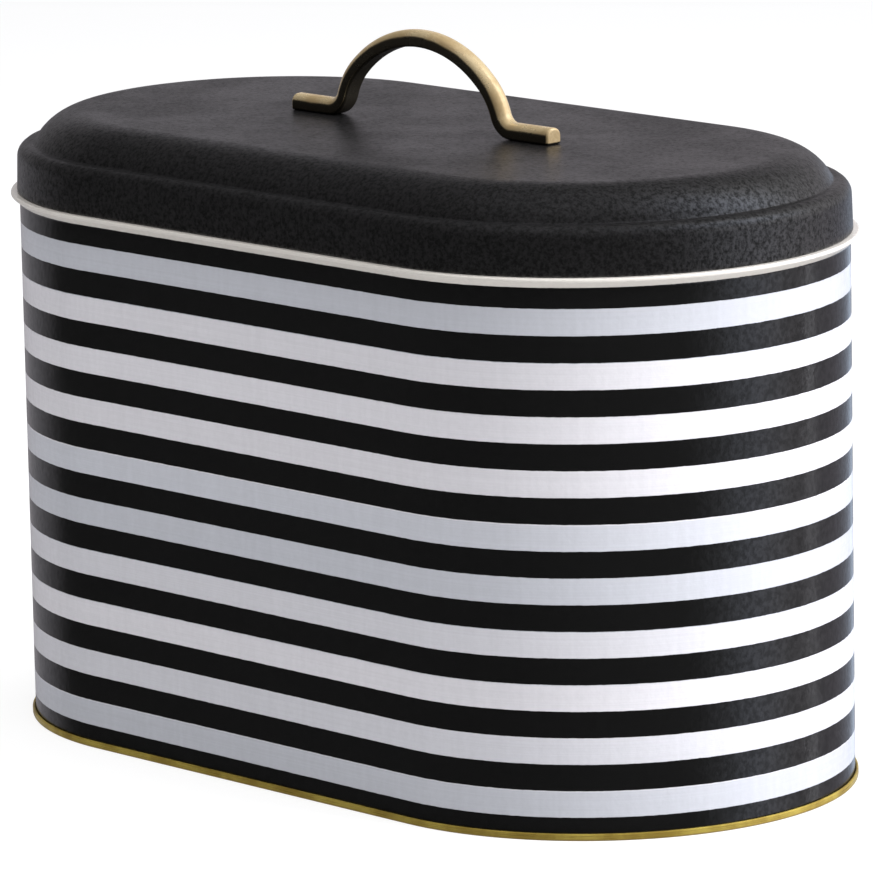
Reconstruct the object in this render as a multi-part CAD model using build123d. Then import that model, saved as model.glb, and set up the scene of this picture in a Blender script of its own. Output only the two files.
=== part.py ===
from build123d import *

import os
from math import cos, radians, sin, sqrt

# Bread bin: an oval tinplate body with a slip lid and a cast bow handle.
# Millimetres, +Z up, +X along the length. Origin: centre of the footprint, on the table.
# A sheet's section is drawn as (distance from the end's centre line, height) and carried
# round the oval.

# ---- body ----
body_length = 330.0  # outside the wall, end to end
body_width = 175.0  # outside the wall, front to back; the ends are half circles of this width
body_height = 186.3  # table to the flat top of the bead, where the lid rests
body_sheet = 0.5
wall_lap = 6.0  # width of the lapped side seam

bead_proud = 3.0  # how far the bead stands out from the wall
bead_rise = 3.5  # height over which the wall flares out to the bead
bead_nose_radius = 0.5  # of the sheet's middle
bead_root_radius = 1.0

neck_inset = 0.8  # neck's outer face, in from the wall's outer face
neck_rise = 10.5  # neck's top, above the bead
neck_root_radius = 0.5  # of the sheet's middle
curl_radius = 0.95  # rolled safe edge, of the sheet's middle
curl_turn = 270.0

# ---- base ----
base_sheet = 0.5
seam_height = 2.4  # gold ring round the foot
seam_proud = 1.0
seam_play = 0.1  # room for sealing compound on both sides of the wall
seam_corner = 0.35
floor_lift = 3.2  # floor's upper face above the table
floor_step = 1.0  # centre of the floor is pressed down by this much
floor_step_inset = 16.0
floor_radius = 0.8

# ---- lid ----
lid_sheet = 0.6
skirt_proud_hem = 0.8  # skirt's outer face at the hem, out from the wall's outer face
skirt_proud_top = 0.3
skirt_rise = 11.9  # straight part of the skirt
ledge_corner_radius = 4.5
ledge_inset = 5.5  # foot of the dome, in from the wall's outer face
dome_run = 18.0  # rounded flank, inwards
dome_rise = 11.0  # rounded flank, upwards
dome_root_radius = 0.8
hem_height = 4.0
hem_sheet = 0.6

# ---- handle ----
bar_width = 6.8
bar_thickness = 5.7
bar_top_radius = 3.0  # the bar is domed on top
bar_edge_radius = 1.0  # along its underside
handle_length = 125.2
crown_radius = 46.0  # of the bar's middle, over the top
crown_angle = 43.5
shoulder_radius = 24.0  # of the bar's middle, down the sides
leg_angle = 71.0  # steepest slope of the legs
leg_straight = 0.5
foot_bend_radius = 7.0
foot_end_radius = 0.9

# ---- fasteners ----
screw_spacing = 107.0
screw_diameter = 3.0
screw_length = 5.0
screw_head_diameter = 5.6
screw_head_height = 2.2
screw_head_edge = 0.6
recess_width = 0.9  # cross recess in the head
recess_length = 3.0
recess_depth = 1.1
thread_play = 0.05  # all round, in the handle's tapped hole
tap_margin = 0.6  # tapped hole deeper than the screw reaches
lid_hole_diameter = 3.4
washer_diameter = 7.0
washer_thickness = 0.5
washer_hole_diameter = 3.2

# ---- worked out ----
end_radius = body_width / 2
straight_half = body_length / 2 - end_radius
ledge_height = body_height + skirt_rise + ledge_corner_radius
lid_height = ledge_height + dome_rise
dome_radius = (dome_run**2 + dome_rise**2) / (2 * dome_rise)


def round_the_oval(section):
    """Carry a section (distance from the end's centre line, height) round the oval."""
    start = Plane(origin=(straight_half, 0, 0), x_dir=(0, -1, 0), z_dir=(-1, 0, 0))
    profile = start * section
    front = extrude(profile, amount=2 * straight_half)
    end = revolve(profile, axis=Axis((straight_half, 0, 0), (0, 0, 1)), revolution_arc=180)
    half = front + end
    return half + Rot(0, 0, 180) * half


def at(inset, height):
    """Section point, given how far in from the wall's outer face it lies."""
    return (end_radius - inset, height)


def body_wall():
    """Wall, outward bead, and the neck with its rolled edge, all one sheet."""
    middle = body_sheet / 2
    neck = neck_inset + middle
    neck_top = body_height + neck_rise
    curl_centre = at(neck + curl_radius, neck_top - curl_radius - middle)
    rise = FilletPolyline(
        at(middle, base_sheet),
        at(middle, body_height - bead_rise),
        at(middle - bead_proud, body_height - 2 * middle - bead_nose_radius),
        at(middle - bead_proud, body_height - middle),
        at(neck, body_height - middle),
        at(neck, curl_centre[1]),
        radius=[bead_root_radius, bead_nose_radius / 2, bead_nose_radius, neck_root_radius],
    )
    curl = CenterArc(curl_centre, curl_radius, 0, curl_turn)
    shell = round_the_oval(trace(rise + curl, line_width=body_sheet))
    seam_bottom = floor_lift + base_sheet
    seam_top = body_height - bead_rise - bead_root_radius
    lap = Pos(0, end_radius - 1.5 * body_sheet, seam_bottom) * Box(
        wall_lap, body_sheet, seam_top - seam_bottom, align=(Align.CENTER, Align.CENTER, Align.MIN)
    )
    return shell + lap


def base_panel():
    """Pressed end: gold fold outside the wall, channel under it, recessed floor."""
    middle = base_sheet / 2
    leg = body_sheet + seam_play + middle
    pressed = FilletPolyline(
        at(-seam_play - middle, middle),
        at(leg, middle),
        at(leg, floor_lift - middle),
        at(floor_step_inset, floor_lift - middle),
        at(floor_step_inset + floor_step, floor_lift - floor_step - middle),
        (0, floor_lift - floor_step - middle),
        radius=[middle * 1.2, floor_radius, floor_radius, floor_radius],
    )
    fold = Pos(*at(-seam_play - seam_proud / 2, seam_height / 2)) * Rectangle(seam_proud, seam_height)
    fold = fillet(fold.vertices().group_by(Axis.X)[-1], seam_corner)
    return round_the_oval(trace(pressed, line_width=base_sheet) + fold)


def lid_line(depth):
    """Half section of the lid as a line, this far inside its outer face, hem to centre."""
    hem = at(depth - skirt_proud_hem, body_height)
    skirt_top = at(depth - skirt_proud_top, body_height + skirt_rise)
    corner = at(ledge_corner_radius - skirt_proud_top, body_height + skirt_rise)
    corner_end = (corner[0], ledge_height - depth)
    dome_centre = at(ledge_inset + dome_run, lid_height - dome_radius)
    reach = dome_radius - depth
    foot_drop = ledge_height - depth - dome_centre[1]
    dome_foot = (dome_centre[0] + sqrt(reach**2 - foot_drop**2), ledge_height - depth)
    crown = (dome_centre[0], lid_height - depth)
    slant = sin(radians(45))
    corner_mid = (
        corner[0] + (ledge_corner_radius - depth) * slant,
        corner[1] + (ledge_corner_radius - depth) * slant,
    )
    return [
        Line(hem, skirt_top),
        ThreePointArc(skirt_top, corner_mid, corner_end),
        Line(corner_end, dome_foot),
        RadiusArc(dome_foot, crown, -reach),
        Line(crown, (0, lid_height - depth)),
    ]


def lid_shell():
    """Pressed slip lid with a folded hem and two holes for the handle's screws."""
    outer = lid_line(0)
    inner = lid_line(lid_sheet)
    hem_edge = Line(outer[0] @ 0, inner[0] @ 0)
    centre_edge = Line(outer[-1] @ 1, inner[-1] @ 1)
    section = make_face(outer + inner + [hem_edge, centre_edge])
    for line, radius in ((outer, dome_root_radius), (inner, dome_root_radius + lid_sheet)):
        root = section.vertices().sort_by_distance(line[3] @ 0)[0]
        section = fillet(root, radius)
    lean = (skirt_proud_hem - skirt_proud_top) / skirt_rise * hem_height
    hem_out = lid_sheet - skirt_proud_hem
    hem = make_face(
        Polyline(
            at(hem_out, body_height),
            at(hem_out + hem_sheet, body_height),
            at(hem_out + hem_sheet + lean, body_height + hem_height),
            at(hem_out + lean, body_height + hem_height),
            close=True,
        )
    )
    shell = round_the_oval(section + hem)
    holes = [
        Pos(side * screw_spacing / 2, 0, lid_height - lid_sheet / 2)
        * Cylinder(lid_hole_diameter / 2, 2 * lid_sheet)
        for side in (-1, 1)
    ]
    return shell - holes


def handle_line():
    """Middle of the handle's bar, right half, from the crown out to the foot's end."""
    crown = radians(crown_angle)
    leg = radians(leg_angle)
    foot = lid_height + bar_thickness / 2
    top = (
        foot
        + foot_bend_radius * (1 - cos(leg))
        + leg_straight * sin(leg)
        + shoulder_radius * (cos(crown) - cos(leg))
        + crown_radius * (1 - cos(crown))
    )
    over = CenterArc((0, top - crown_radius), crown_radius, 90, -crown_angle)
    shoulder_centre = over @ 1 - Vector(sin(crown), cos(crown)) * shoulder_radius
    shoulder = CenterArc(
        shoulder_centre, shoulder_radius, 90 - crown_angle, crown_angle - leg_angle
    )
    straight = Line(shoulder @ 1, shoulder @ 1 + Vector(cos(leg), -sin(leg)) * leg_straight)
    bend_centre = straight @ 1 + Vector(sin(leg), cos(leg)) * foot_bend_radius
    bend = CenterArc(bend_centre, foot_bend_radius, 270 - leg_angle, leg_angle)
    pad = Line(bend @ 1, (handle_length / 2, foot))
    return over + shoulder + straight + bend + pad


def handle():
    """Bow handle of one domed bar, with a tapped hole up into each foot."""
    path = Plane.XZ * handle_line()
    start = Plane(origin=path @ 0, x_dir=(0, 1, 0), z_dir=path % 0)
    bar = Rectangle(bar_width, bar_thickness)
    bar = fillet(bar.vertices().group_by(Axis.Y)[-1], bar_top_radius)
    bar = fillet(bar.vertices().group_by(Axis.Y)[0], bar_edge_radius)
    right = sweep(start * bar, path=path)
    end_edges = right.faces().sort_by(Axis.X)[-1].edges()
    right = fillet(end_edges, foot_end_radius)
    bow = right + mirror(right, about=Plane.YZ)
    reach = screw_length - washer_thickness - lid_sheet + tap_margin
    holes = [
        Pos(side * screw_spacing / 2, 0, lid_height)
        * Cylinder(
            screw_diameter / 2 + thread_play,
            reach,
            align=(Align.CENTER, Align.CENTER, Align.MIN),
        )
        for side in (-1, 1)
    ]
    return bow - holes


def handle_washer(side):
    """Plain washer against the lid's underside."""
    ring = Circle(washer_diameter / 2) - Circle(washer_hole_diameter / 2)
    top = lid_height - lid_sheet
    return Pos(side * screw_spacing / 2, 0, top - washer_thickness) * extrude(ring, washer_thickness)


def handle_screw(side):
    """Pan-head screw from inside the lid; its thread is a plain cylinder."""
    seat = lid_height - lid_sheet - washer_thickness
    upright = (Align.CENTER, Align.CENTER, Align.MIN)
    shank = Cylinder(screw_diameter / 2, screw_length, align=upright)
    head = Pos(0, 0, -screw_head_height) * Cylinder(
        screw_head_diameter / 2, screw_head_height, align=upright
    )
    head = fillet(head.edges().group_by(Axis.Z)[0], screw_head_edge)
    slot = Box(recess_length, recess_width, recess_depth, align=upright)
    cross = Pos(0, 0, -screw_head_height) * (slot + Rot(0, 0, 90) * slot)
    return Pos(side * screw_spacing / 2, 0, seat) * (shank + head - cross)


def main():
    """Build every piece and write one STEP file for each."""
    pieces = {
        "body_wall": body_wall(),
        "base_panel": base_panel(),
        "lid_shell": lid_shell(),
        "handle": handle(),
    }
    for name, side in (("left", -1), ("right", 1)):
        pieces[f"handle_washer_{name}"] = handle_washer(side)
        pieces[f"handle_screw_{name}"] = handle_screw(side)
    os.makedirs("parts", exist_ok=True)
    for name, piece in pieces.items():
        export_step(piece, f"parts/{name}.step")


main()
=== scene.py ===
"""Looks for an oval tinplate bread bin: striped body, gold foot ring, black lid and brass bow handle.

Metres, +Z up, +X along the bin's length, the origin at the middle of its footprint.
A sheet's section is given as (out, up): out from the centre line of the round end, up from the table.
"""

import logging
import math
from collections.abc import Callable, Sequence
from dataclasses import dataclass, field
from enum import Enum

import bmesh
import bpy
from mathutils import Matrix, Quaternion, Vector


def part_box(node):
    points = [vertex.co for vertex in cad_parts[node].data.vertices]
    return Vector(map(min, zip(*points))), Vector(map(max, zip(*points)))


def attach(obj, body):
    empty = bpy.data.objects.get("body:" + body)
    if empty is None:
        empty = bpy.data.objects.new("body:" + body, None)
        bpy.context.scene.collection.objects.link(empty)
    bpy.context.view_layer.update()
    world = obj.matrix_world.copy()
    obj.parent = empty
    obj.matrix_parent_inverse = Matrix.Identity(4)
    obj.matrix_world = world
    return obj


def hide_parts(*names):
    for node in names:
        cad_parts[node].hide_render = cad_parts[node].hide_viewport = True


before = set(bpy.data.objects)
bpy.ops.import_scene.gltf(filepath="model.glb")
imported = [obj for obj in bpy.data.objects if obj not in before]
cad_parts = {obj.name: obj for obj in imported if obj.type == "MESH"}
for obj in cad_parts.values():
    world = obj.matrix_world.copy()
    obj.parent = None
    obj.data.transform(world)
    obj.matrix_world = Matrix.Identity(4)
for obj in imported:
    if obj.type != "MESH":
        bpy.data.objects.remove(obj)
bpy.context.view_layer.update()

MM = 0.001
WELD = 0.005 * MM  # points nearer than this are one point
SOFT_ANGLE = math.radians(32.0)  # edges flatter than this are shaded smooth
log = logging.getLogger("bread_bin")
Piece = bpy.types.Object


class Side(Enum):
    """The two ends of the handle."""

    LEFT = -1
    RIGHT = 1


class Element(Enum):
    """What a selection in edit mode picks."""

    POINT = "VERT"
    FACE = "FACE"


# ---------------------------------------------------------------- bench work


def clear_bench() -> None:
    """Leave edit mode and select nothing, so that an operator touches only the next piece."""
    if bpy.context.object is not None and bpy.context.object.mode != "OBJECT":
        bpy.ops.object.mode_set(mode="OBJECT")
    bpy.ops.object.select_all(action="DESELECT")


def take(piece: Piece) -> None:
    """Make one object the only selected and active one."""
    clear_bench()
    piece.select_set(True)
    bpy.context.view_layer.objects.active = piece


def pick(rule: Callable[[Vector, Vector], bool], element: Element = Element.POINT) -> int:
    """Select points or faces of the mesh in edit mode.

    Args:
        rule: says from an element's place and normal whether it is picked.
        element: whether points or faces are picked.

    Returns:
        How many were picked.
    """
    bpy.ops.mesh.select_mode(type=element.value)
    bpy.ops.mesh.select_all(action="DESELECT")
    mesh = bpy.context.edit_object.data
    shape = bmesh.from_edit_mesh(mesh)
    if element is Element.POINT:
        places = [(point, point.co) for point in shape.verts]
    else:
        places = [(face, face.calc_center_median()) for face in shape.faces]
    picked = [part for part, place in places if rule(place, part.normal)]
    for part in picked:
        part.select_set(True)
    shape.select_flush_mode()
    bmesh.update_edit_mesh(mesh)
    return len(picked)


def push(x: float = 0.0, y: float = 0.0, z: float = 0.0) -> None:
    """Extrude what is selected by a step."""
    bpy.ops.mesh.extrude_region_move(TRANSFORM_OT_translate={"value": (x, y, z)})


def turn(angle: float, centre: Vector, axis: Vector, steps: int) -> None:
    """Spin what is selected about an axis, right-handed.

    Args:
        angle: in radians, anticlockwise as seen from the axis's tip.
        centre: a point on the axis.
        axis: the axis's direction.
        steps: segments along the turn.
    """
    bpy.ops.mesh.spin(steps=steps, angle=-angle, center=centre, axis=axis)


def weld() -> None:
    """Join doubled points and turn the faces outwards, over the whole mesh in edit mode."""
    bpy.ops.mesh.select_all(action="SELECT")
    bpy.ops.mesh.remove_doubles(threshold=WELD)
    bpy.ops.mesh.normals_make_consistent(inside=False)


def apply_modifier(piece: Piece, kind: str, **settings: object) -> None:
    """Add one modifier, set it and apply it.

    Args:
        piece: the object that is worked on.
        kind: the modifier's type.
        settings: its values by name.
    """
    take(piece)
    modifier = piece.modifiers.new(kind.lower(), kind)
    for key, value in settings.items():
        setattr(modifier, key, value)
    bpy.ops.object.modifier_apply(modifier=modifier.name)


def cut(piece: Piece, cutter: Piece) -> None:
    """Take the cutter's solid out of a piece, and throw the cutter away."""
    apply_modifier(piece, "BOOLEAN", operation="DIFFERENCE", solver="EXACT", object=cutter)
    bpy.data.objects.remove(cutter, do_unlink=True)


def smooth(piece: Piece) -> None:
    """Shade gentle edges smooth, and keep large flats flat right up to their bends."""
    take(piece)
    bpy.ops.object.shade_smooth_by_angle(angle=SOFT_ANGLE)
    apply_modifier(piece, "WEIGHTED_NORMAL", keep_sharp=True, weight=100)


def start(name: str, add: Callable[..., object], **settings: object) -> Piece:
    """Add a plain shape, its place and size in its mesh.

    Args:
        name: the object's name.
        add: the operator that adds the shape.
        settings: the operator's values.

    Returns:
        The object.
    """
    clear_bench()
    add(**settings)
    piece = bpy.context.object
    piece.name = name
    bpy.ops.object.transform_apply(location=True, rotation=True, scale=True)
    return piece


def turned_rod(name: str, radius: float, low: Vector, depth: float, points: int = 48) -> Piece:
    """Stand a round rod on a place.

    Args:
        name: the object's name.
        radius: of the rod.
        low: centre of its lower end.
        depth: its height.
        points: round its rim.

    Returns:
        The rod, its place in its mesh.
    """
    add, centre = bpy.ops.mesh.primitive_cylinder_add, low + Vector((0.0, 0.0, depth / 2))
    return start(name, add, vertices=points, radius=radius, depth=depth, location=centre)


# ---------------------------------------------------------------- finishes


def shade(red: float, green: float, blue: float) -> tuple[float, float, float, float]:
    """A linear colour from display values of 0 to 255."""
    linear = [
        (part / 255 / 12.92) if part <= 10.3 else ((part / 255 + 0.055) / 1.055) ** 2.4
        for part in (red, green, blue)
    ]
    return (*linear, 1.0)


class NodeBench:
    """An emptied node tree, and the steps that fill it."""

    def __init__(self, owner: bpy.types.Material | bpy.types.World) -> None:
        """Empty the node tree of a material or a world."""
        owner.use_nodes = True
        self.tree = owner.node_tree
        self.tree.nodes.clear()

    def add(self, kind: str, inputs: dict[str | int, object], **settings: object) -> bpy.types.Node:
        """Add a node.

        Args:
            kind: the node's type, without its prefix.
            inputs: links or values by socket.
            settings: the node's own properties.

        Returns:
            The node.
        """
        node = self.tree.nodes.new("ShaderNode" + kind)
        for key, value in settings.items():
            setattr(node, key, value)
        for key, value in inputs.items():
            self.feed(node.inputs[key], value)
        return node

    def feed(self, socket: bpy.types.NodeSocket, value: object) -> None:
        """Link an output to a socket, or set the socket's value."""
        if isinstance(value, bpy.types.NodeSocket):
            self.tree.links.new(value, socket)
        else:
            socket.default_value = value

    def sum(self, operation: str, *terms: object) -> bpy.types.NodeSocket:
        """One step of arithmetic."""
        return self.add("Math", dict(enumerate(terms)), operation=operation).outputs[0]

    def ramp(self, value: object, low: float, high: float, start: float = 0.0, end: float = 1.0) -> object:
        """Fade from start to end as a value goes from low to high."""
        sockets = {"Value": value, "From Min": low, "From Max": high, "To Min": start, "To Max": end}
        return self.add("MapRange", sockets, interpolation_type="SMOOTHSTEP").outputs[0]

    def mix(self, factor: object, first: object, second: object) -> bpy.types.NodeSocket:
        """Blend two colours."""
        return self.add("Mix", {0: factor, 6: first, 7: second}, data_type="RGBA").outputs[2]


class Recipe(NodeBench):
    """The nodes of one finish, on object coordinates."""

    def __init__(self, name: str, **surface: object) -> None:
        """Start a material.

        Args:
            name: the material's name.
            surface: uniform values for the shader's own sockets, spaces written as underscores.
        """
        self.material = bpy.data.materials.new(name)
        super().__init__(self.material)
        self.shader = self.add("BsdfPrincipled", {})
        self.add("OutputMaterial", {0: self.shader.outputs[0]})
        self.place = self.add("TexCoord", {}).outputs["Object"]
        self.surface(**surface)

    def surface(self, **inputs: object) -> None:
        """Feed values or patterns to the shader's sockets, spaces written as underscores."""
        for key, value in inputs.items():
            self.feed(self.shader.inputs[key.replace("_", " ")], value)

    def stretched(self, x: float, y: float, z: float) -> bpy.types.NodeSocket:
        """Object coordinates, scaled along each axis."""
        return self.add("Mapping", {"Vector": self.place, "Scale": (x, y, z)}).outputs[0]

    def noise(self, per_metre: float, detail: float = 2.0, rough: float = 0.5, at: object = None) -> object:
        """Noise about 0.5.

        Args:
            per_metre: how many cells a metre holds.
            detail: finer layers on top.
            rough: how strong the finer layers are.
            at: coordinates other than the object's own.

        Returns:
            The noise's socket.
        """
        sockets = {"Vector": at or self.place, "Scale": per_metre, "Detail": detail, "Roughness": rough}
        return self.add("TexNoise", sockets).outputs[0]

    def steps(self, value: object, brightness_levels: Sequence[float]) -> bpy.types.NodeSocket:
        """Hold one tone after another as a value goes from 0 to 1."""
        node = self.add("ValToRGB", {0: value})
        ramp = node.color_ramp
        ramp.interpolation = "CONSTANT"
        for number, tone in enumerate(brightness_levels):
            stop = ramp.elements[0] if number == 0 else ramp.elements.new(number / len(brightness_levels))
            stop.position = number / len(brightness_levels)
            stop.color = (tone, tone, tone, 1.0)
        ramp.elements.remove(ramp.elements[-1])
        return self.sum("MULTIPLY", node.outputs[0], 1.0)

    def bump(self, height: object, depth: float, under: object = None) -> bpy.types.NodeSocket:
        """Relief of a depth in metres, on top of another relief."""
        sockets = {"Height": height, "Distance": depth}
        if under is not None:
            sockets["Normal"] = under
        return self.add("Bump", sockets).outputs[0]


@dataclass(frozen=True)
class StripedEnamel:
    """Printed and varnished tinplate: white stripes on black, and a cream rim; the top and bottom white
    stripes are darkened with painted shade.
    """

    stripes_top: float
    cream_from: float
    pitch: float = 17.72 * MM
    white_height: float = 8.89 * MM
    whites: int = 10
    bleed: float = 0.10 * MM  # softness of a printed edge
    wander: float = 0.16 * MM
    cool_white: tuple = shade(216, 218, 227)
    warm_white: tuple = shade(223, 221, 227)
    # Brightness of each white stripe, top to bottom: the dark first and last stripes are painted shade under
    # the bead and near the floor, and the middle ones differ stripe by stripe.
    brightness_levels: Sequence[float] = (0.78, 0.97, 1.0, 0.98, 0.86, 0.81, 0.93, 1.0, 0.92, 0.80)  # top to bottom
    black: tuple = shade(19, 19, 19)
    cream: tuple = shade(211, 206, 200)
    peel_depth: float = 0.08 * MM

    def make(self) -> bpy.types.Material:
        """Build the print."""
        recipe = Recipe("striped_print", Metallic=0.0)
        up = recipe.add("SeparateXYZ", {"Vector": recipe.place}).outputs["Z"]
        drift = recipe.sum("SUBTRACT", recipe.noise(260.0, 3.0, 0.6), 0.5)
        edge = recipe.sum("MULTIPLY_ADD", drift, 2 * self.wander, up)
        count = recipe.sum("DIVIDE", recipe.sum("SUBTRACT", self.stripes_top, edge), self.pitch)
        within = recipe.sum("FRACT", count)
        fade = self.bleed / self.pitch
        share = self.white_height / self.pitch
        rise = recipe.ramp(within, 0.0, fade)
        fall = recipe.ramp(within, share - fade / 2, share + fade / 2, 1.0, 0.0)
        started = recipe.sum("GREATER_THAN", count, 0.0)
        ended = recipe.sum("LESS_THAN", count, self.whites - 0.25)
        printed = recipe.sum("MULTIPLY", recipe.sum("MULTIPLY", rise, fall), started)
        white = recipe.sum("MULTIPLY", printed, ended)
        rim = recipe.ramp(edge, self.cream_from - self.bleed / 2, self.cream_from + self.bleed / 2)
        # Each stripe's brightness from the list above; on the first and last stripes it is painted shade.
        stripe_brightness = recipe.steps(recipe.sum("DIVIDE", count, self.whites), self.brightness_levels)
        lines = recipe.noise(1.0, 3.0, 0.7, recipe.stretched(6.0, 6.0, 2600.0))
        streaks = recipe.noise(1.0, 2.0, 0.6, recipe.stretched(420.0, 420.0, 5.0))
        grain = recipe.sum("ADD", lines, recipe.sum("MULTIPLY", streaks, 0.5))
        tone = recipe.sum("MULTIPLY", recipe.ramp(grain, 0.45, 1.05, 0.94, 1.03), stripe_brightness)
        # The darker a stripe, the cooler its white, so the painted shade there is tinted cool too.
        paper = recipe.mix(recipe.ramp(stripe_brightness, 0.84, 0.98), self.cool_white, self.warm_white)
        grained_shaded_white = recipe.add("VectorMath", {0: paper, 3: tone}, operation="SCALE").outputs[0]
        body = recipe.mix(white, self.black, grained_shaded_white)
        smudge = recipe.noise(28.0, 4.0, 0.6)
        gloss = recipe.ramp(smudge, 0.3, 0.75, 0.13, 0.24)
        peel = recipe.noise(520.0, 3.0, 0.6)
        sheet = recipe.noise(1.0, 1.0, 0.5, recipe.stretched(16.0, 16.0, 5.0))
        step = recipe.bump(white, 0.004 * MM, recipe.bump(sheet, 0.25 * MM))
        recipe.surface(
            Base_Color=recipe.mix(rim, body, self.cream),
            Roughness=gloss,
            Specular_IOR_Level=recipe.ramp(peel, 0.34, 0.66, 0.31, 0.64),
            Normal=recipe.bump(peel, self.peel_depth, step),
        )
        return recipe.material


@dataclass(frozen=True)
class BareTin:
    """The unprinted inside of the sheet: rolled tinplate with faint grain lines and spangle."""

    bright: tuple = shade(206, 205, 200)
    dull: tuple = shade(172, 172, 170)

    def make(self) -> bpy.types.Material:
        """Build the tin."""
        recipe = Recipe("bare_tin", Metallic=0.6)
        roll = recipe.noise(1.0, 4.0, 0.7, recipe.stretched(14.0, 14.0, 1500.0))
        cells = recipe.add("TexVoronoi", {"Vector": recipe.place, "Scale": 90.0}).outputs["Color"]
        cloud = recipe.noise(22.0, 3.0, 0.55)
        mottle = recipe.sum("ADD", recipe.sum("MULTIPLY", roll, 0.5), recipe.sum("MULTIPLY", cloud, 0.5))
        spangle = recipe.sum("MULTIPLY_ADD", cells, 0.12, mottle)
        recipe.surface(
            Base_Color=recipe.mix(recipe.ramp(spangle, 0.35, 0.8), self.dull, self.bright),
            Roughness=recipe.ramp(spangle, 0.35, 0.8, 0.36, 0.22),
            Normal=recipe.bump(roll, 0.003 * MM, recipe.bump(cloud, 0.05 * MM)),
        )
        return recipe.material


@dataclass(frozen=True)
class GoldLacquer:
    """Gold varnish over tin, browner where it is scuffed along the foot."""

    scuffed_below: float
    gold: tuple = shade(196, 174, 84)
    deep: tuple = shade(158, 134, 60)
    scuffed: tuple = shade(140, 116, 74)

    def make(self) -> bpy.types.Material:
        """Build the lacquer."""
        recipe = Recipe("gold_lacquer", Metallic=0.4, Specular_IOR_Level=0.25)
        up = recipe.add("SeparateXYZ", {"Vector": recipe.place}).outputs["Z"]
        cloud = recipe.noise(70.0, 4.0, 0.6)
        scratch = recipe.noise(1.0, 3.0, 0.7, recipe.stretched(60.0, 60.0, 3200.0))
        body = recipe.mix(recipe.ramp(cloud, 0.35, 0.68), self.deep, self.gold)
        reach = recipe.sum("MULTIPLY_ADD", recipe.sum("SUBTRACT", cloud, 0.5), -1.2 * MM, up)
        wear = recipe.ramp(reach, 0.0, self.scuffed_below, 0.75, 0.0)
        recipe.surface(
            Base_Color=recipe.mix(wear, body, self.scuffed),
            Roughness=recipe.ramp(scratch, 0.3, 0.7, 0.24, 0.4),
            Normal=recipe.bump(scratch, 0.006 * MM, recipe.bump(cloud, 0.02 * MM)),
        )
        return recipe.material


@dataclass(frozen=True)
class TextureCoat:
    """Baked black coat with a fine sandy wrinkle, with painted highlight on the grains' tips and painted
    shade in their pits.
    """

    grain_per_metre: float = 700.0
    grain_depth: float = 0.13 * MM
    # Painted shade in the sand's pits and painted highlight on its tips, following the same relief as the
    # bump.
    shaded_pit: tuple = shade(18, 18, 18)
    lit_tip: tuple = shade(28, 27, 28)

    def make(self) -> bpy.types.Material:
        """Build the coat."""
        recipe = Recipe("black_texture_coat", Metallic=0.0)
        sand = recipe.noise(self.grain_per_metre, 4.0, 0.72)
        rub = recipe.noise(30.0, 4.0, 0.6)
        recipe.surface(
            Base_Color=recipe.mix(recipe.ramp(sand, 0.35, 0.65), self.shaded_pit, self.lit_tip),
            Roughness=recipe.ramp(rub, 0.3, 0.7, 0.30, 0.40),
            Specular_IOR_Level=recipe.ramp(sand, 0.34, 0.66, 0.12, 0.9),
            Normal=recipe.bump(sand, self.grain_depth),
        )
        return recipe.material


@dataclass(frozen=True)
class AntiqueBrassWithPaintedShade:
    """Satin cast brass, toned brown and rubbed lighter in soft patches, with painted shade darkening the
    bar's sides and underside.
    """

    rubbed: tuple = shade(228, 206, 164)
    toned: tuple = shade(202, 176, 132)
    # Colour of the painted shade on the bar's sides and underside.
    painted_shade_brass: tuple = shade(40, 38, 34)

    def make(self) -> bpy.types.Material:
        """Build the brass."""
        recipe = Recipe("antique_brass", Metallic=0.55)
        facing = recipe.add("TexCoord", {}).outputs["Normal"]
        parts = recipe.add("SeparateXYZ", {"Vector": facing}).outputs
        tone = recipe.noise(120.0, 5.0, 0.62)
        soft = recipe.sum("MULTIPLY", recipe.sum("SUBTRACT", tone, 0.5), 0.08)
        # Painted shade: the faces that look to the front and back, and those that face down, fade to the
        # painted shade's colour.
        side = recipe.ramp(recipe.sum("ADD", recipe.sum("ABSOLUTE", parts["Y"]), soft), 0.91, 0.985)
        under = recipe.ramp(recipe.sum("ADD", parts["Z"], soft), -0.26, -0.04, 1.0, 0.0)
        painted_shade_mask = recipe.sum("MULTIPLY", recipe.sum("MAXIMUM", side, under), 0.97)
        brushed = recipe.noise(1.0, 3.0, 0.65, recipe.stretched(130.0, 1900.0, 900.0))
        pits = recipe.noise(1500.0, 2.0, 0.5)
        blend = recipe.sum("MULTIPLY_ADD", brushed, 0.35, tone)
        body = recipe.mix(recipe.ramp(blend, 0.48, 0.85), self.toned, self.rubbed)
        recipe.surface(
            Base_Color=recipe.mix(painted_shade_mask, body, self.painted_shade_brass),
            Roughness=recipe.ramp(blend, 0.45, 0.9, 0.36, 0.22),
            Normal=recipe.bump(pits, 0.010 * MM, recipe.bump(brushed, 0.006 * MM)),
        )
        return recipe.material


@dataclass(frozen=True)
class ZincSteel:
    """Bright zinc on turned steel."""

    bright: tuple = shade(196, 200, 204)
    dull: tuple = shade(150, 154, 160)

    def make(self) -> bpy.types.Material:
        """Build the zinc."""
        recipe = Recipe("zinc_steel", Metallic=1.0)
        bloom = recipe.noise(900.0, 4.0, 0.6)
        turned = recipe.noise(1.0, 2.0, 0.6, recipe.stretched(300.0, 300.0, 5200.0))
        recipe.surface(
            Base_Color=recipe.mix(recipe.ramp(bloom, 0.35, 0.7), self.dull, self.bright),
            Roughness=recipe.ramp(bloom, 0.3, 0.7, 0.36, 0.22),
            Normal=recipe.bump(turned, 0.006 * MM, recipe.bump(bloom, 0.008 * MM)),
        )
        return recipe.material


# ---------------------------------------------------------------- sheets round the oval


@dataclass(frozen=True)
class Corner:
    """One corner of a sheet's section: its place, and the radius that rounds it."""

    out: float
    up: float
    radius: float = 0.0


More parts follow.
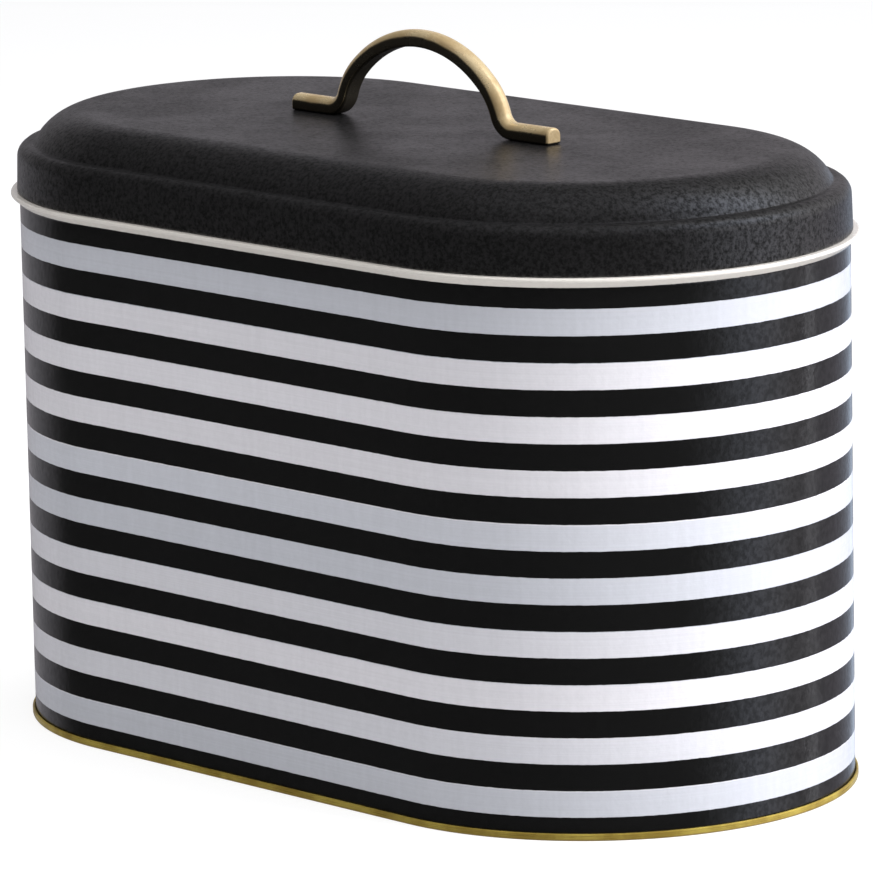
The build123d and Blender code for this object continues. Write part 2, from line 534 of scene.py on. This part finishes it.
@dataclass(frozen=True)
class Oval:
    """The footprint: half circles on both ends of a straight."""

    straight_half: float
    end_radius: float  # to the wall's outer face
    end_steps: int = 60
    bend_steps: int = 5  # the fewest segments of a rounded corner
    bend_angle: float = math.radians(15.0)  # the most that one segment turns

    def trace(self, name: str, corners: Sequence[Corner]) -> Piece:
        """Draw a section at the right end of the front straight, and stay in edit mode.

        Args:
            name: the object's name.
            corners: the section's corners in order.

        Returns:
            The object, a line of edges.
        """
        piece = start(name, bpy.ops.mesh.primitive_plane_add, size=MM, location=self.spot(corners[0]))
        for _ in range(2):
            piece.data.materials.append(None)
        bpy.ops.object.mode_set(mode="EDIT")
        bpy.ops.mesh.select_mode(type=Element.POINT.value)
        bpy.ops.mesh.select_all(action="SELECT")
        bpy.ops.mesh.merge(type="CENTER")
        for last, corner in zip(corners, corners[1:]):
            step = self.spot(corner) - self.spot(last)
            bpy.ops.mesh.extrude_vertices_move(TRANSFORM_OT_translate={"value": step})
        for last, corner, after in zip(corners, corners[1:], corners[2:]):
            if corner.radius:
                self.round_off(last, corner, after)
        return piece

    def spot(self, corner: Corner) -> Vector:
        """Where a section's corner lies."""
        return Vector((self.straight_half, -corner.out, corner.up))

    def round_off(self, last: Corner, corner: Corner, after: Corner) -> None:
        """Round one corner of the section to its radius."""
        here = self.spot(corner)
        bend = (here - self.spot(last)).angle(self.spot(after) - here)
        steps = max(self.bend_steps, round(bend / self.bend_angle))
        self.round_point(here, bend, corner.radius, steps, clamp=False)

    def round_point(self, here: Vector, bend: float, radius: float, steps: int, clamp: bool) -> None:
        """Round the section's point that lies here, where it turns by this bend."""
        pick(lambda place, _: (place - here).length < WELD)
        bpy.ops.mesh.bevel(
            affect="VERTICES",
            offset_type="OFFSET",
            offset=radius * math.tan(bend / 2),
            segments=steps,
            profile=0.5,
            clamp_overlap=clamp,
        )

    def bend_end(self, start: Corner, centre: Corner, angle: float, steps: int) -> None:
        """Carry the section on from its end point, along an arc towards the middle of the oval.

        Args:
            start: the section's end point.
            centre: the arc's centre.
            angle: how far it goes round, in radians.
            steps: segments along the arc.
        """
        here = self.spot(start)
        pick(lambda place, _: (place - here).length < WELD)
        turn(-angle, self.spot(centre), Vector((1.0, 0.0, 0.0)), steps)

    def carry_round(self, seam: Sequence[tuple[float, float]] = ()) -> None:
        """Carry the section round the oval and close it.

        Args:
            seam: stops along the back straight, as (distance from its start, step inwards there).
        """
        bpy.ops.mesh.select_mode(type="VERT")
        bpy.ops.mesh.select_all(action="SELECT")
        upright = Vector((0.0, 0.0, 1.0))
        turn(math.pi, Vector((self.straight_half, 0.0, 0.0)), upright, self.end_steps)
        gone, sunk = 0.0, 0.0
        for stop, depth in (*seam, (2 * self.straight_half, 0.0)):
            push(x=gone - stop, y=sunk - depth)
            gone, sunk = stop, depth
        turn(math.pi, Vector((-self.straight_half, 0.0, 0.0)), upright, self.end_steps)
        push(x=2 * self.straight_half)
        weld()

    def outwards(self, piece: Piece) -> None:
        """Turn an open sheet's faces away from the inside of the bin, judged on its front wall."""
        wrong = pick(lambda place, normal: place.y < -0.9 * self.end_radius and normal.y > 0.7, Element.FACE)
        right = pick(lambda place, normal: place.y < -0.9 * self.end_radius and normal.y < -0.7, Element.FACE)
        if wrong > right:
            bpy.ops.mesh.select_all(action="SELECT")
            bpy.ops.mesh.flip_normals()
        log.info("%s: %d faces of its front point out", piece.name, max(wrong, right))

    def thicken(self, piece: Piece, sheet: float) -> None:
        """Give a middle surface its sheet's thickness, with the second material inside."""
        clear_bench()
        settings = {"offset": 0.0, "use_even_offset": True, "use_rim": True, "material_offset": 1}
        apply_modifier(piece, "SOLIDIFY", thickness=sheet, **settings)


# ---------------------------------------------------------------- sub-assemblies


@dataclass
class TinWall:
    """The oval wall, its outward bead, the neck and the neck's rolled edge."""

    oval: Oval
    rest_height: float  # the bead's flat top, where the lid rests
    neck_top: float
    sheet: float = 0.5 * MM
    foot: float = 0.5 * MM
    bead_proud: float = 3.0 * MM
    bead_rise: float = 3.5 * MM
    bead_nose_radius: float = 0.5 * MM
    bead_root_radius: float = 1.0 * MM
    neck_inset: float = 0.8 * MM
    neck_root_radius: float = 0.5 * MM
    curl_radius: float = 0.95 * MM
    curl_turn: float = math.radians(270.0)
    lap_width: float = 6.0 * MM
    seam_groove: float = 0.16 * MM
    seam_depth: float = 0.12 * MM
    lap_from: float = 4.2 * MM

    def build(self) -> Piece:
        """Model the wall with its side seam."""
        middle = self.sheet / 2
        face = self.oval.end_radius - middle
        neck = self.oval.end_radius - self.neck_inset - middle
        curl_height = self.neck_top - middle - self.curl_radius
        ledge = self.rest_height - middle
        corners = [
            Corner(face, self.foot),
            Corner(face, self.rest_height - self.bead_rise, self.bead_root_radius),
            Corner(face + self.bead_proud, ledge - middle - self.bead_nose_radius, self.bead_nose_radius / 2),
            Corner(face + self.bead_proud, ledge, self.bead_nose_radius),
            Corner(neck, ledge, self.neck_root_radius),
            Corner(neck, curl_height),
        ]
        wall = self.oval.trace("tin_wall", corners)
        centre = Corner(neck - self.curl_radius, curl_height)
        self.oval.bend_end(corners[-1], centre, self.curl_turn, steps=14)
        half, deep = self.oval.straight_half, self.seam_depth
        groove = ((-1.0, 0.0), (-0.5, deep), (0.5, deep), (1.0, 0.0))
        self.oval.carry_round([(half + part * self.seam_groove, depth) for part, depth in groove])
        self.oval.outwards(wall)
        self.oval.thicken(wall, self.sheet)
        smooth(wall)
        return wall

    def build_lap(self) -> Piece:
        """Model the inner lap of the side seam, a strip with rounded long edges."""
        low, high = self.lap_from, self.rest_height - self.bead_rise - self.bead_root_radius
        place = Vector((0.0, self.oval.end_radius - 1.5 * self.sheet, (low + high) / 2))
        size = (self.lap_width, self.sheet, high - low)
        lap = start("seam_lap", bpy.ops.mesh.primitive_cube_add, size=1.0, location=place, scale=size)
        inner = place.y - self.sheet / 2
        bpy.ops.object.mode_set(mode="EDIT")
        pick(lambda spot, _: abs(spot.y - inner) < WELD)
        bpy.ops.mesh.bevel(offset=0.3 * self.sheet, segments=3, profile=0.5)
        clear_bench()
        smooth(lap)
        return lap


@dataclass
class BasePanel:
    """The pressed bottom, folded up round the wall's foot into a gold ring."""

    oval: Oval
    ring_proud: float  # ring's outer face, out from the wall's outer face
    floor_lift: float  # floor's upper face above the table
    sheet: float = 0.49 * MM
    ring_height: float = 2.4 * MM
    fold_radius: float = 0.249 * MM
    foot_radius: float = 0.35 * MM
    channel: float = 0.85 * MM
    press_radius: float = 0.8 * MM
    step_inset: float = 16.0 * MM
    step_depth: float = 1.0 * MM

    def build(self) -> Piece:
        """Model the panel, with its ring folded double."""
        middle = self.sheet / 2
        reach = self.oval.end_radius + self.ring_proud - middle
        fold = reach - 2 * self.fold_radius
        top = self.ring_height - middle
        inner = self.oval.end_radius - self.channel
        step = self.oval.end_radius - self.step_inset
        floor = self.floor_lift - middle
        corners = [
            Corner(fold, 0.35 * self.ring_height),
            Corner(fold, top, self.fold_radius),
            Corner(reach, top, self.fold_radius),
            Corner(reach, middle, self.foot_radius),
            Corner(inner, middle, self.foot_radius),
            Corner(inner, floor, self.press_radius),
            Corner(step, floor, self.press_radius),
            Corner(step - self.step_depth, floor - self.step_depth, self.press_radius),
            Corner(0.0, floor - self.step_depth),
        ]
        panel = self.oval.trace("base_tray", corners)
        self.oval.carry_round()
        self.oval.outwards(panel)
        self.oval.thicken(panel, self.sheet)
        smooth(panel)
        return panel


@dataclass
class PressedLid:
    """The slip lid: hemmed skirt, rounded ledge, low dome, and two screw holes."""

    oval: Oval
    hem_height: float  # where the hem rests on the bead
    crown_height: float
    screw_places: Sequence[Vector]
    sheet: float = 0.6 * MM
    skirt_proud_hem: float = 0.8 * MM
    skirt_proud_top: float = 0.3 * MM
    hem_turned_up: float = 4.0 * MM
    hem_fold_radius: float = 0.309 * MM
    ledge_corner_radius: float = 4.5 * MM
    ledge_inset: float = 5.5 * MM
    dome_run: float = 18.0 * MM
    dome_rise: float = 11.0 * MM
    dome_root_radius: float = 0.8 * MM
    hole_radius: float = 1.7 * MM

    def build(self) -> Piece:
        """Model the shell."""
        middle = self.sheet / 2
        wall = self.oval.end_radius
        hem_out = wall + self.skirt_proud_hem - middle
        hem_in = hem_out - 2 * self.hem_fold_radius
        lean = self.skirt_proud_hem - self.skirt_proud_top
        bottom = self.hem_height + middle
        ledge = self.crown_height - self.dome_rise - middle
        dome_radius = (self.dome_run**2 + self.dome_rise**2) / (2 * self.dome_rise)
        dome_middle = Corner(wall - self.ledge_inset - self.dome_run, self.crown_height - dome_radius)
        reach = dome_radius - middle
        drop = ledge - dome_middle.up
        climb = math.acos(drop / reach)
        root = Corner(dome_middle.out + reach * math.sin(climb), ledge)
        corners = [
            Corner(hem_in - lean * self.hem_turned_up / (ledge - bottom), bottom + self.hem_turned_up),
            Corner(hem_in, bottom, self.hem_fold_radius),
            Corner(hem_out, bottom, self.hem_fold_radius),
            Corner(hem_out - lean, ledge, self.ledge_corner_radius - middle),
            root,
        ]
        lid = self.oval.trace("pressed_lid", corners)
        self.oval.bend_end(root, dome_middle, climb, steps=22)
        bpy.ops.mesh.extrude_vertices_move(TRANSFORM_OT_translate={"value": (0.0, dome_middle.out, 0.0)})
        root_radius = self.dome_root_radius + middle
        self.oval.round_point(self.oval.spot(root), climb, root_radius, steps=6, clamp=True)
        self.oval.carry_round()
        self.oval.outwards(lid)
        self.oval.thicken(lid, self.sheet)
        for place in self.screw_places:
            low = Vector((place.x, place.y, self.crown_height - 2 * self.sheet))
            cut(lid, turned_rod("hole_punch", self.hole_radius, low, 3 * self.sheet))
        smooth(lid)
        return lid


@dataclass
class BowHandle:
    """The cast bow: one bar, domed on top, with flat feet."""

    low: Vector
    high: Vector
    screw_places: Sequence[Vector]
    thickness: float = 5.7 * MM
    top_radius: float = 3.0 * MM  # the bar is domed on top
    edge_radius: float = 1.0 * MM  # along its underside
    crown_radius: float = 46.0 * MM  # of the bar's middle, over the top
    crown_angle: float = math.radians(43.5)
    shoulder_radius: float = 24.0 * MM
    leg_angle: float = math.radians(71.0)
    leg_straight: float = 0.5 * MM
    bend_radius: float = 7.0 * MM
    end_chamfer: float = 0.9 * MM
    tap_radius: float = 1.55 * MM
    tap_depth: float = 4.5 * MM

    def build(self) -> Piece:
        """Model the right half by spinning the bar's section, then mirror it."""
        across = Vector((0.0, 1.0, 0.0))
        top = self.high.z - self.thickness / 2
        width = self.high.y - self.low.y
        clear_bench()
        bpy.ops.mesh.primitive_plane_add(size=1.0, location=(0.0, 0.0, top), rotation=(0.0, math.pi / 2, 0.0))
        bow = bpy.context.object
        bow.name = "bow_handle"
        bow.scale = (self.thickness, width, 1.0)
        bpy.ops.object.transform_apply(location=True, rotation=True, scale=True)
        bpy.ops.object.mode_set(mode="EDIT")
        pick(lambda place, _: place.z > top)
        bpy.ops.mesh.bevel(affect="VERTICES", offset=self.top_radius, segments=9, profile=0.5)
        pick(lambda place, _: place.z < top - 0.4 * self.thickness)
        bpy.ops.mesh.bevel(affect="VERTICES", offset=self.edge_radius, segments=4, profile=0.5)
        bpy.ops.mesh.select_all(action="SELECT")
        centre = Vector((0.0, 0.0, top - self.crown_radius))
        turn(self.crown_angle, centre, across, steps=22)
        spot = centre + self.slope(self.crown_angle) * self.crown_radius
        centre = spot - self.slope(self.crown_angle) * self.shoulder_radius
        turn(self.leg_angle - self.crown_angle, centre, across, steps=12)
        spot = centre + self.slope(self.leg_angle) * self.shoulder_radius
        leg = Vector((math.cos(self.leg_angle), 0.0, -math.sin(self.leg_angle))) * self.leg_straight
        push(x=leg.x, z=leg.z)
        centre = spot + leg + self.slope(self.leg_angle) * self.bend_radius
        turn(-self.leg_angle, centre, across, steps=16)
        push(x=self.high.x - centre.x)
        bpy.ops.mesh.bevel(offset=self.end_chamfer, segments=3, profile=0.5, affect="EDGES")
        pick(lambda place, normal: abs(place.x) < WELD and abs(normal.x) > 0.9, Element.FACE)
        bpy.ops.mesh.delete(type="FACE")
        clear_bench()
        apply_modifier(bow, "MIRROR", use_axis=(True, False, False), merge_threshold=WELD)
        bpy.ops.object.mode_set(mode="EDIT")
        weld()
        clear_bench()
        for place in self.screw_places:
            low = Vector((place.x, place.y, self.low.z - MM))
            cut(bow, turned_rod("tap", self.tap_radius, low, self.tap_depth + MM))
        smooth(bow)
        return bow

    def slope(self, angle: float) -> Vector:
        """The direction at this angle from upright, towards the right foot."""
        return Vector((math.sin(angle), 0.0, math.cos(angle)))


@dataclass
class Fastener:
    """One pan-head screw with a cross recess, and its washer, under the lid."""

    side: Side
    screw_low: Vector
    screw_high: Vector
    washer_low: Vector
    washer_high: Vector
    head_height: float = 2.2 * MM
    head_edge: float = 0.6 * MM
    shank_radius: float = 1.5 * MM
    tip_chamfer: float = 0.3 * MM
    recess_length: float = 3.0 * MM
    recess_width: float = 0.9 * MM
    recess_depth: float = 1.1 * MM
    hole_radius: float = 1.6 * MM
    washer_edge: float = 0.12 * MM
    points: int = 48

    @property
    def centre(self) -> Vector:
        """Middle of the screw's head, at its lower face."""
        middle = (self.screw_low + self.screw_high) / 2
        return Vector((middle.x, middle.y, self.screw_low.z))

    def build_screw(self) -> Piece:
        """Model the screw: head, shank drawn up out of it, rounded rim and cross recess."""
        radius = (self.screw_high.x - self.screw_low.x) / 2
        name = f"handle_screw_{self.side.name.lower()}_zinc"
        screw = turned_rod(name, radius, self.centre, self.head_height, self.points)
        seat = self.screw_low.z + self.head_height
        bpy.ops.object.mode_set(mode="EDIT")
        pick(lambda place, normal: normal.z > 0.9, Element.FACE)
        bpy.ops.mesh.inset(thickness=radius - self.shank_radius)
        push(z=self.screw_high.z - seat - self.tip_chamfer)
        push(z=self.tip_chamfer)
        narrow = 1.0 - self.tip_chamfer / self.shank_radius
        bpy.ops.transform.resize(value=(narrow, narrow, 1.0))
        pick(lambda place, normal: normal.z < -0.9, Element.FACE)
        bpy.ops.mesh.bevel(offset=self.head_edge, segments=5, profile=0.5, affect="EDGES")
        clear_bench()
        for angle in (0.0, math.pi / 2):
            cut(screw, self.build_recess(angle))
        smooth(screw)
        return screw

    def build_recess(self, angle: float) -> Piece:
        """Make one arm of the recess, narrower towards its bottom."""
        arm = start(
            "recess_arm",
            bpy.ops.mesh.primitive_cube_add,
            size=2.0,
            location=self.centre,
            rotation=(0.0, 0.0, angle),
            scale=(self.recess_length / 2, self.recess_width / 2, self.recess_depth),
        )
        bpy.ops.object.mode_set(mode="EDIT")
        pick(lambda place, normal: normal.z > 0.9, Element.FACE)
        bpy.ops.transform.resize(value=(0.72, 0.72, 1.0))
        clear_bench()
        return arm

    def build_washer(self) -> Piece:
        """Model the washer: a ring drawn in from its rim, drawn up, its edges broken."""
        radius = (self.washer_high.x - self.washer_low.x) / 2
        place = Vector((self.centre.x, self.centre.y, self.washer_low.z))
        name = f"handle_washer_{self.side.name.lower()}_zinc"
        ring = bpy.ops.mesh.primitive_circle_add
        washer = start(name, ring, vertices=self.points, radius=radius, location=place)
        bpy.ops.object.mode_set(mode="EDIT")
        bpy.ops.mesh.select_all(action="SELECT")
        bpy.ops.mesh.extrude_edges_move()
        shrink = self.hole_radius / radius
        bpy.ops.transform.resize(value=(shrink, shrink, 1.0))
        bpy.ops.mesh.select_all(action="SELECT")
        push(z=self.washer_high.z - self.washer_low.z)
        weld()
        clear_bench()
        apply_modifier(washer, "BEVEL", width=self.washer_edge, segments=2, limit_method="ANGLE")
        smooth(washer)
        return washer


# ---------------------------------------------------------------- studio


@dataclass
class ViewCamera:
    """The camera, given by where it stands round the bin."""

    azimuth: float = math.radians(46.238)
    elevation: float = math.radians(11.6435)
    roll: float = math.radians(-1.1544)
    distance: float = 2.42356
    target_height: float = 0.0991
    aim_right: float = 2.1 * MM  # the view's middle, beside and above the target
    aim_up: float = 6.96 * MM
    lens: float = 291.6
    sensor: float = 36.0

    @property
    def back(self) -> Vector:
        """Unit vector from the bin to the camera."""
        level = math.cos(self.elevation)
        return Vector(
            (math.sin(self.azimuth) * level, -math.cos(self.azimuth) * level, math.sin(self.elevation))
        )

    @property
    def ahead(self) -> Vector:
        """Level unit vector from the bin towards the camera."""
        return Vector((self.back.x, self.back.y, 0.0)).normalized()

    @property
    def right(self) -> Vector:
        """Unit vector towards the right of the view."""
        return Vector((math.cos(self.azimuth), math.sin(self.azimuth), 0.0))

    def build(self) -> Piece:
        """Set the camera up."""
        data = bpy.data.cameras.new("view_camera")
        data.lens = self.lens
        data.sensor_width = self.sensor
        data.clip_start, data.clip_end = 0.05, 50.0
        camera = bpy.data.objects.new("view_camera", data)
        bpy.context.scene.collection.objects.link(camera)
        target = Vector((0.0, 0.0, self.target_height))
        spot = target + self.back * self.distance
        up = self.back.cross(self.right)
        aim = target + self.right * self.aim_right + up * self.aim_up
        camera.rotation_mode = "QUATERNION"
        camera.location = spot
        level = (aim - spot).to_track_quat("-Z", "Y")
        camera.rotation_quaternion = level @ Quaternion((0.0, 0.0, 1.0), self.roll)
        bpy.context.scene.camera = camera
        return camera


@dataclass(frozen=True)
class Glow:
    """What the room shows at one bearing, in degrees from the camera towards its right."""

    bearing: float
    red: float
    green: float
    blue: float


@dataclass(frozen=True)
class Tier:
    """One height of the room: the elevations over which it takes over, and what it shows all round."""

    starts: float
    full: float
    glows: Sequence[Glow]


@dataclass
class SoftBox:
    """One soft light: where it hangs as seen from the bin, its size and its power."""

    name: str
    bearing: float
    elevation: float
    distance: float
    width: float
    height: float
    power: float


@dataclass
class Studio:
    """Plain pale floor, pale room and soft lights."""

    camera: ViewCamera
    floor_size: float = 9.0
    floor_colour: tuple = shade(148, 148, 148)
    floor_lift: float = 0.78
    room_strength: float = 3.2  # the brightest that the room shows
    lowest: Sequence[Glow] = (  # below the tiers
        Glow(-180.0, 0.36, 0.34, 0.36), Glow(-140.0, 0.36, 0.35, 0.38),
        Glow(-127.0, 0.28, 0.27, 0.29), Glow(-116.0, 0.04, 0.04, 0.04),
        Glow(44.0, 0.03, 0.03, 0.03), Glow(58.0, 0.34, 0.35, 0.39),
        Glow(67.0, 0.66, 0.70, 0.82), Glow(76.0, 0.90, 0.94, 1.10),
        Glow(88.0, 0.88, 0.88, 0.98), Glow(98.0, 0.52, 0.49, 0.52),
        Glow(108.5, 0.36, 0.34, 0.38), Glow(109.5, 1.80, 1.80, 1.90),
        Glow(112.0, 1.80, 1.80, 1.90), Glow(113.5, 0.34, 0.32, 0.36),
        Glow(135.0, 0.32, 0.30, 0.34), Glow(152.0, 0.42, 0.45, 0.54),
        Glow(164.0, 0.76, 0.90, 1.12), Glow(172.0, 0.38, 0.36, 0.38),
    )
    tiers: Sequence[Tier] = (
        Tier(-3.0, 6.0, (
            Glow(-180.0, 0.40, 0.38, 0.41), Glow(-150.0, 0.26, 0.25, 0.26),
            Glow(-112.0, 0.04, 0.04, 0.04), Glow(42.0, 0.04, 0.04, 0.04),
            Glow(62.0, 0.80, 0.80, 0.84), Glow(80.0, 1.30, 1.30, 1.36),
            Glow(120.0, 0.80, 0.77, 0.78), Glow(150.0, 0.42, 0.40, 0.42),
            Glow(180.0, 0.42, 0.39, 0.42),
        )),
        Tier(20.0, 32.0, (
            Glow(-180.0, 0.10, 0.10, 0.10), Glow(-160.0, 0.04, 0.04, 0.04),
            Glow(66.0, 0.04, 0.04, 0.04), Glow(82.0, 1.60, 1.75, 2.10),
            Glow(98.0, 2.40, 2.60, 3.10), Glow(114.0, 1.10, 1.10, 1.08),
            Glow(138.0, 0.36, 0.35, 0.34), Glow(160.0, 0.12, 0.12, 0.12),
            Glow(180.0, 0.10, 0.10, 0.10),
        )),
        Tier(58.0, 74.0, (Glow(-180.0, 0.15, 0.15, 0.16),)),
    )
    lights: Sequence[SoftBox] = (
        SoftBox("overhead_box", 20.0, 82.0, 1.7, 2.0, 2.0, 42.0),
        SoftBox("key_box", 68.0, 30.0, 1.9, 0.9, 0.9, 34.0),
    )

    def build(self) -> None:
        """Lay the floor, paint the room and hang the lights."""
        self.build_floor()
        self.build_room()
        for light in self.lights:
            self.hang(light)
        bpy.context.scene.view_settings.view_transform = "Standard"

    def build_floor(self) -> None:
        """Lay a pale floor that polished sides don't mirror."""
        clear_bench()
        bpy.ops.mesh.primitive_plane_add(size=self.floor_size)
        floor = bpy.context.object
        floor.name = "studio_floor"
        recipe = Recipe("pale_floor", Base_Color=self.floor_colour, Roughness=1.0, Specular_IOR_Level=0.0)
        recipe.surface(Emission_Color=(1.0, 1.0, 1.0, 1.0), Emission_Strength=self.floor_lift)
        floor.data.materials.append(recipe.material)
        floor.visible_glossy = False

    def build_room(self) -> None:
        """Paint the room: white to the eye, darker in front and brighter behind in reflections."""
        world = bpy.data.worlds.new("pale_room")
        bpy.context.scene.world = world
        nodes = NodeBench(world)
        way = nodes.add("TexCoord", {}).outputs["Generated"]
        across, along = (
            nodes.add("VectorMath", {0: way, 1: axis}, operation="DOT_PRODUCT").outputs["Value"]
            for axis in (self.camera.right, self.camera.ahead)
        )
        bearing = nodes.sum("ARCTAN2", across, along)
        turned = {"Value": bearing, "From Min": -math.pi, "From Max": math.pi}
        share = nodes.add("MapRange", turned).outputs[0]
        up = nodes.add("SeparateXYZ", {0: way}).outputs["Z"]
        shown = self.paint_round(nodes, self.lowest, share)
        for tier in self.tiers:
            starts, full = (math.sin(math.radians(height)) for height in (tier.starts, tier.full))
            painted = self.paint_round(nodes, tier.glows, share)
            shown = nodes.mix(nodes.ramp(up, starts, full), shown, painted)
        mirrored = nodes.add("Background", {"Color": shown, "Strength": self.room_strength})
        seen = nodes.add("Background", {"Color": (1.0, 1.0, 1.0, 1.0)})
        eye = nodes.add("LightPath", {}).outputs["Is Camera Ray"]
        either = nodes.add("MixShader", {0: eye, 1: mirrored.outputs[0], 2: seen.outputs[0]})
        nodes.add("OutputWorld", {"Surface": either.outputs[0]})

    def paint_round(self, nodes: NodeBench, glows: Sequence[Glow], share: object) -> bpy.types.NodeSocket:
        """Lay glows out round the room.

        Args:
            nodes: the room's nodes.
            glows: what it shows, by bearing.
            share: the bearing as a share of the full turn.

        Returns:
            The colour, as a share of the room's strength.
        """
        ramp = nodes.add("ValToRGB", {0: share})
        stops = ramp.color_ramp.elements
        stops.remove(stops[-1])
        for number, glow in enumerate(glows):
            position = glow.bearing / 360.0 + 0.5
            stop = stops[0] if number == 0 else stops.new(position)
            stop.position = position
            stop.color = (*[part / self.room_strength for part in (glow.red, glow.green, glow.blue)], 1.0)
        return ramp.outputs[0]

    def hang(self, light: SoftBox) -> None:
        """Hang one soft box, facing the bin."""
        data = bpy.data.lights.new(light.name, "AREA")
        data.shape = "RECTANGLE"
        data.size, data.size_y = light.width, light.height
        data.energy = light.power
        box = bpy.data.objects.new(light.name, data)
        bpy.context.scene.collection.objects.link(box)
        box.visible_glossy = False
        bearing, rise = math.radians(light.bearing), math.radians(light.elevation)
        level = self.camera.ahead * math.cos(bearing) + self.camera.right * math.sin(bearing)
        way = level * math.cos(rise) + Vector((0.0, 0.0, math.sin(rise)))
        box.location = way * light.distance
        box.rotation_euler = (-way).to_track_quat("-Z", "Y").to_euler()


# ---------------------------------------------------------------- the whole bin


@dataclass
class BreadBin:
    """The bin: every piece with its body, its finishes and the node it stands for."""

    stripes_drop: float = 10.23 * MM  # from the lid's hem down to the first stripe
    cream_lift: float = 0.2 * MM  # from the bead's root up to the cream edge
    scuff_height: float = 0.9 * MM
    made: list[Piece] = field(default_factory=list)

    def keep(
        self,
        piece: Piece,
        body: str,
        finishes: Sequence[bpy.types.Material],
        node: str = "",
    ) -> None:
        """Dress a piece and put it on its body.

        Args:
            piece: the modelled piece.
            body: the body that it moves with.
            finishes: its materials, outside first.
            node: the frame's node that it stands for, if it does.
        """
        while len(piece.data.materials) < len(finishes):
            piece.data.materials.append(None)
        for number, finish in enumerate(finishes):
            piece.data.materials[number] = finish
        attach(piece, body)
        if node:
            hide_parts(node)
        self.made.append(piece)
        log.info("%s: %d faces, on %s", piece.name, len(piece.data.polygons), body)

    def build(self) -> None:
        """Model and dress every piece."""
        wall_low, wall_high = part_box("body_wall")
        lid_low, lid_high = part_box("lid_shell")
        base_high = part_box("base_panel")[1]
        end_radius = wall_high.y - TinWall.bead_proud
        oval = Oval(straight_half=wall_high.x - wall_high.y, end_radius=end_radius)
        tin = BareTin().make()
        wall = TinWall(oval, rest_height=lid_low.z, neck_top=wall_high.z)
        print_finish = StripedEnamel(
            stripes_top=lid_low.z - self.stripes_drop,
            cream_from=lid_low.z - wall.bead_rise + self.cream_lift,
        ).make()
        self.keep(wall.build(), "bin", [print_finish, tin], "body_wall")
        self.keep(wall.build_lap(), "bin", [tin])
        base = BasePanel(oval, ring_proud=base_high.y - end_radius, floor_lift=base_high.z)
        gold = GoldLacquer(scuffed_below=self.scuff_height).make()
        self.keep(base.build(), "bin", [gold, gold], "base_panel")
        fasteners = [self.fastener(side) for side in Side]
        places = [fastener.centre for fastener in fasteners]
        lid = PressedLid(oval, hem_height=lid_low.z, crown_height=lid_high.z, screw_places=places)
        coat = TextureCoat().make()
        self.keep(lid.build(), "lid", [coat, tin], "lid_shell")
        handle = BowHandle(*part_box("handle"), screw_places=places)
        self.keep(handle.build(), "lid", [AntiqueBrassWithPaintedShade().make()], "handle")
        zinc = ZincSteel().make()
        for fastener in fasteners:
            name = fastener.side.name.lower()
            self.keep(fastener.build_screw(), "lid", [zinc], f"handle_screw_{name}")
            self.keep(fastener.build_washer(), "lid", [zinc], f"handle_washer_{name}")

    def fastener(self, side: Side) -> Fastener:
        """The screw and washer of one foot, placed by the frame."""
        name = side.name.lower()
        return Fastener(side, *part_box(f"handle_screw_{name}"), *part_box(f"handle_washer_{name}"))


def main() -> None:
    """Build the bin, its camera and its studio."""
    logging.basicConfig(level=logging.INFO, format="%(message)s")
    BreadBin().build()
    camera = ViewCamera()
    camera.build()
    Studio(camera).build()


if __name__ == "__main__":
    main()
